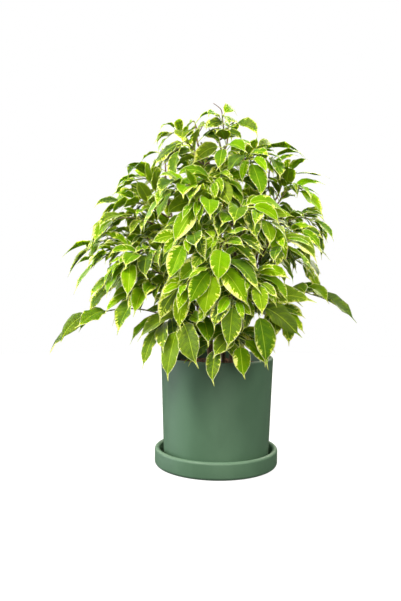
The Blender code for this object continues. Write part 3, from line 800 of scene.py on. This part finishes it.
def bare_spur(spur):
    """A bare spur: a thin tapered tube with a ring every few millimetres, its last seventh a pointed bud."""
    points, foot_radius, tip_radius = spur
    line = through(np.array(points) / 1000, SPUR_RINGS)
    run = np.linspace(0, 1, SPUR_RINGS)
    length = np.linalg.norm(np.diff(line, axis=0), axis=1).sum()
    ringed = 1 + 0.18 * np.cos(2 * math.pi * run * length / SPUR_SCARS) ** 8
    bud = np.interp(run, (0, 0.86, 0.92, 1.0), (1.0, 1.0, 1.45, 0.1))
    radius = np.linspace(foot_radius, tip_radius, SPUR_RINGS) / 1000 * ringed * bud
    tube_points, faces = tube(line, radius, TWIG_SIDES)
    return tube_points, faces, np.repeat(0.5 * run**3, TWIG_SIDES)


points, faces, young = joined([bare_spur(spur) for spur in SPURS])
spurs = new_piece("bare_spurs", points, faces, twig_bark)
give(spurs, "young", young)
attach(spurs, "root")


# ---- Leaves -------------------------------------------------------------------------------------------
# Thin, pointed, glossy leaves, green with a wavy cream margin and a bent drip tip, hanging from short
# stalks alternate along each twig. Smaller young ones grow between them, inside the plant's dome.

LEAF_LENGTH = 0.0475
LEAF_WIDTH = 0.0245
LEAF_THICKNESS = 0.00042
LEAF_ANGLE = 52
PETIOLE_LENGTH = 0.0090
PETIOLE_THICKNESS = 0.0010
LIGHT = (-0.15, -0.35, 1.0)
OUTWARD = 0.95
SEED = 7
TRIES = 16
WIDER = 0.12
SMALLER = 0.035
LEVEL_DROOP = 0.6
FLANK_CLOSER = 0.35
FLANK_LIFT = 0.30
STATIONS = np.array([-1.15, 0.0, 0.05, 0.15, 0.30, 0.46, 0.62, 0.75, 0.85, 1.0])
WIDTHS = np.array([0.0, 0.0, 0.48, 0.83, 1.0, 0.98, 0.80, 0.47, 0.12, 0.02])
RING = 6
ACROSS = np.array([-1.0, -0.5, 0.0, 0.5, 1.0, 0.0])
STALK_Y = np.array([0.0, 0.9, 1.0, 0.9, 0.0, -1.0])
BLADE_Y = np.array([0.0, 0.8, 1.0, 0.8, 0.0, -1.6])
BULGE = 0.06
PLAIN_SHARE = 0.06
# How much darker a leaf is deep along its twig: partly older leaves, partly painted shade for the plant's
# inside.
INNER_AGE_AND_PAINTED_SHADE = 0.6
TONE_SPREAD = (0.85, 1.05)
HEM_WIDTHS = (0.50, 0.95)
FRESH_THINNER = 0.4
NO_CREAM = -9.0
YOUNG_TRIES = 5
YOUNG_REACH = 0.050
INSET = 0.001
OFF_POT = 0.003
AIRY_ABOVE = 0.400
SHADED_BELOW = 0.212
YOUNG_SHARE = (0.50, 0.90)
YOUNG_SLIMNESS = 0.84
YOUNG_ROUNDS = 3
YOUNG_CLOSER = 0.65
FRESHEST = 0.7
DOME_MIDDLE = (0.0, 0.0, 0.260)
DOME_HALVES = (0.165, 0.150, 0.175)

# A leaf's build varies within these ranges: its length and width as shares of a full leaf's, and the angle
# in radians at which each half is folded up. Its ways vary within the others: the angle in degrees between
# it and its twig, its lift at the foot, its droop, and its roll in degrees about its midrib.
LEAF_BUILD = {"length": (0.82, 1.12), "width": (0.80, 1.05), "fold": (0.17, 0.42)}
LEAF_WAYS = {"angle": (38, 66), "lift": (-0.20, 0.30), "droop": (0.8, 2.2), "roll": (-26, 26)}
YOUNG_WAYS = {"angle": (20, 85), "lift": (0.2, 1.2), "droop": (0.8, 2.6), "roll": (-40, 40)}


def flank(number):
    """How far a twig ends on one of the plant's two flanks: 1 right at the side, 0 at the front or back."""
    return unit(np.array(TWIGS[number - 1][2]) * (1, 1, 0))[0] ** 2


def leaf_habit(twig_number, place, attempt):
    """A leaf's own build and ways, the same each time. Later attempts are smaller and reach further round.

    On the plant's two flanks the side leaves lie closer to their twig and arch up from it.
    """
    draw = np.random.default_rng([SEED, twig_number, place, attempt])
    size = TWIGS[twig_number - 1][3] * (1 - SMALLER * attempt)
    habit = {key: draw.uniform(*span) for key, span in LEAF_BUILD.items()}
    habit["length"] *= LEAF_LENGTH * size
    habit["width"] *= LEAF_WIDTH * size
    for key, (low, high) in LEAF_WAYS.items():
        off_middle = draw.uniform(low, high) - (low + high) / 2
        habit[key] = (low + high) / 2 + off_middle * (1 + WIDER * attempt)
    habit["droop"] *= np.interp(TWIGS[twig_number - 1][4], (0, 1), (LEVEL_DROOP, 1))
    if place:
        habit["angle"] *= 1 - FLANK_CLOSER * flank(twig_number)
        habit["lift"] += FLANK_LIFT * flank(twig_number)
    return habit


def leaf_spine(base, heading, habit, steps=24):
    """The midrib from the petiole's foot to the blade's tip: it sets out along heading and bends down."""
    s = np.linspace(0, 1, steps)[:, None]
    ways = unit(heading + habit["droop"] * s * np.array((0, 0, -1.0)))
    length = habit["length"] + PETIOLE_LENGTH
    steps_along = 0.5 * (ways[1:] + ways[:-1]) * length / (steps - 1)
    return base + np.vstack([np.zeros(3), np.cumsum(steps_along, axis=0)])


def leaf_sides(spine, roll):
    """The vector across the blade at each point of its midrib: the upper face looks up and outwards."""
    mean = unit(spine[-1] - spine[0])
    outward = unit(spine[0] * (1, 1, 0) + (0, -1e-6, 0))
    facing = LIGHT + outward * OUTWARD * (1 - abs(mean @ outward))
    side = unit(np.cross(mean, facing))
    turn = math.radians(roll)
    side = unit(side * math.cos(turn) + np.cross(side, mean) * math.sin(turn))
    along = unit(np.gradient(spine, axis=0))
    return unit(side - along * (along @ side)[:, None]), along


def leaf_laid(line, k, hand, swing, habit):
    """A leaf's midrib and side vectors, where it grows from one side of a twig at the twig's point k."""
    along, sides, ups = twig_frames(line)
    base = (line[k] + line[k + 1]) / 2 + sides[k] * hand * twig_thickness(line)[k] / 2
    heading = unit(along[k] * math.cos(swing) + sides[k] * math.sin(swing) + ups[k] * habit["lift"])
    spine = leaf_spine(base, heading, habit)
    return spine, *leaf_sides(spine, habit["roll"])


def fitted_leaf(number, place, line, solid):
    """The leaf's habit, midrib and side vectors, from the first try whose tip is a point of the CAD twig."""
    nodes = twig_nodes(number, line)
    k = nodes[-place] if place else len(line) - 2
    hand = 1 if (place + number) % 2 else -1
    for attempt in range(TRIES):
        habit = leaf_habit(number, place, attempt)
        swing = hand * math.radians(habit["angle"] - (0 if place else LEAF_ANGLE))
        laid = leaf_laid(line, k, hand, swing, habit)
        if np.linalg.norm(solid - laid[0][-1], axis=1).min() < MATCH:
            return habit, *laid
    return None


def cream_reach(x, u, size, draw):
    """How far cream reaches in, in mm: width * (one side's share) * exp(-((u - middle) / spread)^2)."""
    width = size * draw.choice([0.0, 4.0, 8.5], p=[0.12, 0.40, 0.48]) * draw.uniform(0.7, 1.2)
    one_side = np.clip(0.5 + 0.7 * draw.choice([-1, 0.3, 1]) * x, 0, 1)
    swell = np.exp(-(((u - draw.uniform(0.35, 0.95)) / draw.uniform(0.18, 0.42)) ** 2))
    return width * one_side * swell - 1.1


def leaf_shape(habit, spine, sides, along, draw):
    """A leaf as rings of six points, five over and one under, from its stalk to its tip.

    Across each ring x goes from -1 at one margin through 0 at the midrib to 1. A point lies at
    centre + x * half * side, raised by the fold, by the margin's waves, by each half's own bulge and by
    half the thickness.
    """
    u = STATIONS[:, None]
    on = np.clip(u, 0, 1)
    stalk = PETIOLE_LENGTH / (habit["length"] + PETIOLE_LENGTH)
    share = np.where(u < 0, stalk * (1 + u), stalk + u * (1 - stalk))[:, 0]
    knots = np.linspace(0, 1, len(spine))
    centre = read_at(share, knots, spine)
    centre[0] = spine[0] + (spine[1] - spine[0]) * share[0] * (len(spine) - 1)
    side = unit(read_at(share, knots, sides))
    up = np.cross(side, unit(read_at(share, knots, along)))
    blade = np.clip(u / 0.05, 0, 1)
    x = ACROSS + 0 * u
    y = STALK_Y + (BLADE_Y - STALK_Y) * blade
    round_half = PETIOLE_THICKNESS / 2 * (1 - blade) + 0.00004
    half = np.maximum(WIDTHS[:, None] * habit["width"] / 2, round_half)
    thick = np.maximum(LEAF_THICKNESS / 2 * (1 - 0.6 * on), round_half)
    fold = habit["fold"] * blade * (1.5 - 0.7 * on)
    depth = draw.uniform(0.05, 0.20, 2)
    beats = draw.uniform(1.5, 2.9, 2)
    shift = draw.uniform(0, 1, 2)
    waves = depth * np.sin(2 * math.pi * (beats * u + shift))
    curl = draw.uniform(-0.30, 0.06)
    lifted = np.where(x < 0, waves[:, :1], waves[:, 1:]) + curl
    bulge = BULGE * (1 - (2 * np.abs(x) - 1) ** 2)
    rise = np.abs(x) * np.sin(fold) + (x**2 * lifted + bulge) * blade
    tail = np.clip((u - 0.66) / 0.34, 0, 1) ** 2
    bend = draw.normal(0, 0.0026) * tail
    hook = draw.uniform(-0.0005, 0.0042) * tail
    run = x * half * np.cos(fold) + bend
    raised = rise * half + y * thick - hook
    points = centre[:, None] + side[:, None] * run[:, :, None] + up[:, None] * raised[:, :, None]
    place = np.stack([x * half, u * habit["length"] + 0 * x], axis=-1) * 1000
    margin = (1 - np.abs(x)) * half * 1000
    faces = tube_faces(len(u), RING)
    under = np.r_[np.tile(np.arange(RING) >= RING - 2, len(u) - 1), False, False]
    reach = cream_reach(x, u, habit["width"] / LEAF_WIDTH, draw)
    return points.reshape(-1, 3), faces, place.reshape(-1, 2), margin.ravel(), under, reach.ravel()


def variegated_leaf():
    """Variegated leaf: green in two tones, a torn cream margin, pale veins, glossy above and dull below.

    Light spreads inside its thin blade, so it glows a little where it is lit from behind.
    The leaf's own coordinates come from its attributes: across and along in millimetres, and the distance to
    the margin. Its looks are its tone from old to young, darkened deep inside the plant partly for age and
    partly as painted shade, how far cream reaches in, and its hem's width.
    """
    material, tree, shader = new_finish("variegated_leaf")
    place = attribute(tree, "place", "Vector")
    across, along, own = node(tree, "SeparateXYZ", {0: place}).outputs
    margin = attribute(tree, "margin")
    under = attribute(tree, "under")
    tone, reach, hem = node(tree, "SeparateXYZ", {0: attribute(tree, "looks", "Vector")}).outputs
    off_rib = calc(tree, "ABSOLUTE", across)
    slant = calc(tree, "MULTIPLY_ADD", off_rib, -0.75, along)
    veined = node(tree, "CombineXYZ", {0: off_rib, 1: calc(tree, "MULTIPLY", slant, 2.2), 2: own}).outputs[0]

    green = shade(tree, between(tree, tone, 0.0, 0.5), (0.024, 0.068, 0.018, 1), (0.075, 0.200, 0.003, 1))
    green = shade(tree, between(tree, tone, 0.5, 1.0), green, (0.150, 0.335, 0.001, 1))
    chance = node(tree, "TexWhiteNoise", {"W": own}, noise_dimensions="1D").outputs[0]
    olive = calc(tree, "MULTIPLY", calc(tree, "POWER", chance, 2.0), 0.42)
    green = shade(tree, olive, green, (0.240, 0.320, 0.002, 1))
    cloud = between(tree, noise(tree, veined, 0.13), 0.42, 0.62)
    paler = shade(tree, 0.4, green, (0.230, 0.400, 0.002, 1))
    green = shade(tree, cloud, green, paler, 0.50)

    torn = calc(tree, "SUBTRACT", noise(tree, veined, 0.34, detail=3.0, roughness=0.6), 0.5)
    blotch = calc(tree, "SUBTRACT", noise(tree, veined, 0.11, detail=1.0), 0.5)
    inside = calc(tree, "MULTIPLY_ADD", blotch, 14.0, calc(tree, "MULTIPLY_ADD", torn, 22.0, reach))
    inside = calc(tree, "SUBTRACT", inside, margin)
    lime = between(tree, inside, -1.1, -0.1)
    colour = shade(tree, lime, green, (0.330, 0.500, 0.003, 1), 0.7)
    cream = shade(tree, between(tree, inside, 0.2, 2.2), (0.580, 0.680, 0.020, 1), (0.760, 0.780, 0.240, 1))
    colour = shade(tree, between(tree, inside, 0.0, 0.5), colour, cream)
    off_hem = calc(tree, "SUBTRACT", margin, calc(tree, "MULTIPLY_ADD", torn, 1.6, hem))
    edge = calc(tree, "SUBTRACT", 1.0, between(tree, off_hem, -0.15, 0.20))
    colour = shade(tree, edge, colour, (0.720, 0.780, 0.290, 1))

    rib = calc(tree, "SUBTRACT", 1.0, between(tree, off_rib, 0.16, 0.46))
    colour = shade(tree, rib, colour, (0.460, 0.600, 0.040, 1), 0.80)
    comb = calc(tree, "SINE", calc(tree, "MULTIPLY", slant, 2.9))
    vein = between(tree, comb, 0.86, 1.0)
    colour = shade(tree, vein, colour, (0.40, 0.55, 0.04, 1), 0.22)
    below = shade(tree, 0.45, colour, (0.260, 0.360, 0.020, 1))
    colour = shade(tree, under, colour, below)

    gloss = calc(tree, "MULTIPLY_ADD", noise(tree, place, 0.5), 0.12, 0.30)
    coated(tree, shader, colour, calc(tree, "MULTIPLY_ADD", under, 0.22, gloss))
    relief = calc(tree, "MULTIPLY_ADD", rib, -0.8, calc(tree, "MULTIPLY", vein, -0.40))
    relief = calc(tree, "MULTIPLY_ADD", noise(tree, veined, 0.9, detail=1.0), 0.35, relief)
    bumped(tree, shader, relief, 0.00025, 0.7)
    shader.inputs["IOR"].default_value = 1.45
    shader.inputs["Specular IOR Level"].default_value = 0.24
    shader.inputs["Specular Tint"].default_value = (0.90, 1.0, 0.05, 1.0)
    shader.inputs["Subsurface Weight"].default_value = 0.7
    shader.inputs["Subsurface Radius"].default_value = (0.8, 1.0, 0.1)
    shader.inputs["Subsurface Scale"].default_value = 0.0016
    return material


def finished_leaf(shape, own, fresh, depth, draw):
    """A leaf's shape with the values that its material reads: fresh and paler, or deep inside and darker,
    partly as older leaves are and partly as painted shade for the inside of the plant.

    Fresh goes from 0, full grown, to 1, just open. Depth goes from 0 at the twig's tip to 1 at its foot.
    """
    points, faces, at, margin, under, reach = shape
    place = np.hstack([at, np.full((len(points), 1), own)])
    # Deeper leaves get a darker tone: partly because they are older, partly as painted shade inside the
    # plant.
    tone = (draw.beta(*TONE_SPREAD) * (1 - fresh) + fresh) * (1 - INNER_AGE_AND_PAINTED_SHADE * depth)
    hem = draw.uniform(*HEM_WIDTHS) * (1 - FRESH_THINNER * fresh)
    if draw.random() < PLAIN_SHARE * (1 - fresh):
        tone, reach, hem = 0.0, np.full(len(points), NO_CREAM), NO_CREAM
    looks = np.stack([np.full(len(points), tone), reach, np.full(len(points), hem)], axis=1)
    return points, faces, place, margin, under, looks


def grown_leaves(number, line):
    """The leaves that the CAD twig carries."""
    solid = node_points(f"leafy_twig_{number:02d}")
    shapes = []
    last = len(twig_nodes(number, line))
    for place in range(last + 1):
        found = fitted_leaf(number, place, line, solid)
        if found is not None:
            draw = np.random.default_rng([51, number, place])
            shape = leaf_shape(*found, draw)
            shapes.append(finished_leaf(shape, 7.0 * number + 0.9 * place, 0, place / max(last, 1), draw))
    return shapes


def node_faces(name):
    """The faces of a CAD node's mesh, all triangles, as the numbers of their points."""
    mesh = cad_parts[name].data
    corners = np.empty(len(mesh.loops), np.int32)
    mesh.loops.foreach_get("vertex_index", corners)
    return corners.reshape(-1, 3).tolist()


def solids_in_the_way():
    """One search tree over every CAD solid."""
    points, faces = joined([(node_points(name), node_faces(name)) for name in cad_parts])
    return BVHTree.FromPolygons(points.tolist(), faces)


def blade_tree(points, faces):
    """A search tree over a leaf's blade, without its stalk and its two end caps."""
    return BVHTree.FromPolygons(points.tolist(), faces[2 * RING:-2])


def clear_of_all(points, blade, crowd):
    """Is a blade inside the plant's dome and box, off the pot, and clear of the solids and other blades?

    The crowd is a list of search trees: the solids' own, which has no place, and one for each blade so far
    with its middle. Only blades whose middles are near are tested.
    """
    low, high = np.array(cad_box[0]) + INSET, np.array(cad_box[1]) - INSET
    beside_pot = np.hypot(points[:, 0], points[:, 1]) > POT_RIM_RADIUS + OFF_POT
    above_pot = points[:, 2] > pot_high.z + OFF_POT
    if (points < low).any() or (points > high).any() or not (beside_pot | above_pot).all():
        return False
    middle = points.mean(0)
    if np.linalg.norm((middle - DOME_MIDDLE) / DOME_HALVES) > 1:
        return False
    near = [tree for place, tree in crowd if place is None or np.linalg.norm(middle - place) < YOUNG_REACH]
    return not any(blade.overlap(tree) for tree in near)


def young_leaves(number, line, crowd):
    """Smaller leaves between the grown ones, each from the first of a few tries whose blade is clear.

    Stalks aren't tested. Bare twigs, and those that end in the shade or at the head, have none.
    """
    nodes = twig_nodes(number, line)
    shapes = []
    if not SHADED_BELOW < line[-1][2] < AIRY_ABOVE or number in BARE_SHARES:
        return shapes
    between_nodes = np.r_[(nodes[:-1] + nodes[1:]) // 2, len(line) - 3]
    for place, k in enumerate(np.tile(between_nodes, YOUNG_ROUNDS)):
        for attempt in range(YOUNG_TRIES):
            draw = np.random.default_rng([61, number, place, attempt])
            habit = {key: draw.uniform(*span) for key, span in (LEAF_BUILD | YOUNG_WAYS).items()}
            size = draw.uniform(*YOUNG_SHARE) * TWIGS[number - 1][3]
            habit["length"] *= LEAF_LENGTH * size
            habit["width"] *= LEAF_WIDTH * size * YOUNG_SLIMNESS
            habit["angle"] *= 1 - YOUNG_CLOSER * flank(number)
            hand = draw.choice([-1, 1])
            swing = hand * math.radians(habit["angle"])
            shape = leaf_shape(habit, *leaf_laid(line, k, hand, swing, habit), draw)
            blade = blade_tree(*shape[:2])
            if clear_of_all(shape[0], blade, crowd):
                crowd.append((shape[0].mean(0), blade))
                fresh = draw.uniform(0, FRESHEST)
                depth = 1 - k / len(line)
                shapes.append(finished_leaf(shape, 9.0 * number + 0.7 * place, fresh, depth, draw))
                break
    return shapes


leaf_finish = variegated_leaf()
grown = [grown_leaves(number, line) for number, line in enumerate(twig_lines, 1)]
crowd = [(None, solids_in_the_way())]
crowd += [(leaf[0].mean(0), blade_tree(*leaf[:2])) for own_leaves in grown for leaf in own_leaves]
for number, line in enumerate(twig_lines, 1):
    shapes = grown[number - 1] + young_leaves(number, line, crowd)
    points, faces, place, margin, under, looks = joined(shapes)
    leaves = new_piece(f"leaves_{number:02d}", points, faces, leaf_finish, sharp_above=60)
    give(leaves, "place", place, "FLOAT_VECTOR")
    give(leaves, "margin", margin)
    give(leaves, "under", under, domain="FACE")
    give(leaves, "looks", looks, "FLOAT_VECTOR")
    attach(leaves, "root")
    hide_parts(f"leafy_twig_{number:02d}")


# ---- Studio -------------------------------------------------------------------------------------------
# A pale floor inside a white shell that only the camera sees, so that nearly all the light on the plant
# comes from a dim sky and six soft lamps: high and low on the left, in front, on the right, and two behind.

FLOOR_RADIUS = 1.3
FLOOR_GLOW = 0.80
SKY = 0.16
SHELL_RADIUS = 7.0
FLOOR_SIDES = 64
AIM = (0.0, 0.0, 0.25)


def glowing(name, colour, strength):
    """A dull surface that also gives off white light of its own, so that it stays pale in shade."""
    material, _, shader = new_finish(name)
    shader.inputs["Base Color"].default_value = colour
    shader.inputs["Roughness"].default_value = 0.9
    shader.inputs["Specular IOR Level"].default_value = 0.0
    shader.inputs["Emission Color"].default_value = (1.0, 1.0, 1.0, 1.0)
    shader.inputs["Emission Strength"].default_value = strength
    return material


def studio_shell():
    """A sphere round the floor, seen by the camera alone."""
    latitude = np.linspace(-math.pi / 2, math.pi / 2, 25)
    profile = np.stack([np.maximum(np.cos(latitude), 0.001), np.sin(latitude)], axis=1) * SHELL_RADIUS
    shell = new_piece("shell", *turned(profile, False), glowing("shell_white", (0.0, 0.0, 0.0, 1.0), 1.0))
    shell.visible_diffuse = False
    shell.visible_glossy = False
    shell.visible_transmission = False
    shell.visible_shadow = False
    return shell


a = np.linspace(0, 2 * math.pi, FLOOR_SIDES, endpoint=False)
disc = FLOOR_RADIUS * np.stack([np.cos(a), np.sin(a), 0 * a], axis=1)
floor_white = glowing("floor_white", (0.30, 0.30, 0.30, 1.0), FLOOR_GLOW)
floor = new_piece("floor", disc, [list(range(FLOOR_SIDES))], floor_white)
floor.visible_diffuse = False
floor.visible_glossy = False
studio_shell()

world = bpy.data.worlds.new("dim_sky")
world.use_nodes = True
sky = world.node_tree.nodes["Background"]
sky.inputs["Color"].default_value = (1.0, 1.0, 1.0, 1.0)
sky.inputs["Strength"].default_value = SKY
bpy.context.scene.world = world


def soft_light(name, place, size, power, colour):
    """A square area light at a place, turned to the middle of the plant."""
    light = bpy.data.lights.new(name, "AREA")
    light.size = size
    light.energy = power
    light.color = colour
    lamp = in_scene(name, light)
    lamp.location = place
    lamp.rotation_euler = (Vector(AIM) - Vector(place)).to_track_quat("-Z", "Y").to_euler()


soft_light("high_left", (-0.8, -0.9, 1.5), 0.6, 40, (1.0, 0.98, 0.88))
soft_light("low_left", (-2.2, 0.1, 0.35), 1.6, 40, (0.92, 0.97, 1.0))
soft_light("front", (0.2, -1.45, 0.75), 1.0, 18, (1.0, 0.97, 0.88))
soft_light("behind", (0.7, 1.1, 1.2), 0.9, 20, (1.0, 0.98, 0.80))
soft_light("behind_left", (-1.0, 1.0, 1.0), 0.9, 11, (1.0, 0.98, 0.80))
soft_light("right", (1.2, -0.6, 1.3), 0.8, 12, (1.0, 0.98, 0.85))

CAMERA_PLACE = (-0.0232, -0.8524, 0.2484)
CAMERA_PITCH = 2.003
CAMERA_ROLL = 0.684
CAMERA_LENS = 38.16
camera_data = bpy.data.cameras.new("camera")
camera_data.lens = CAMERA_LENS
camera = in_scene("camera", camera_data)
camera.matrix_world = (
    Matrix.Translation(CAMERA_PLACE)
    @ Matrix.Rotation(math.radians(90 - CAMERA_PITCH), 4, "X")
    @ Matrix.Rotation(math.radians(CAMERA_ROLL), 4, "Z")
)
bpy.context.scene.camera = camera
bpy.context.scene.view_settings.view_transform = "Standard"
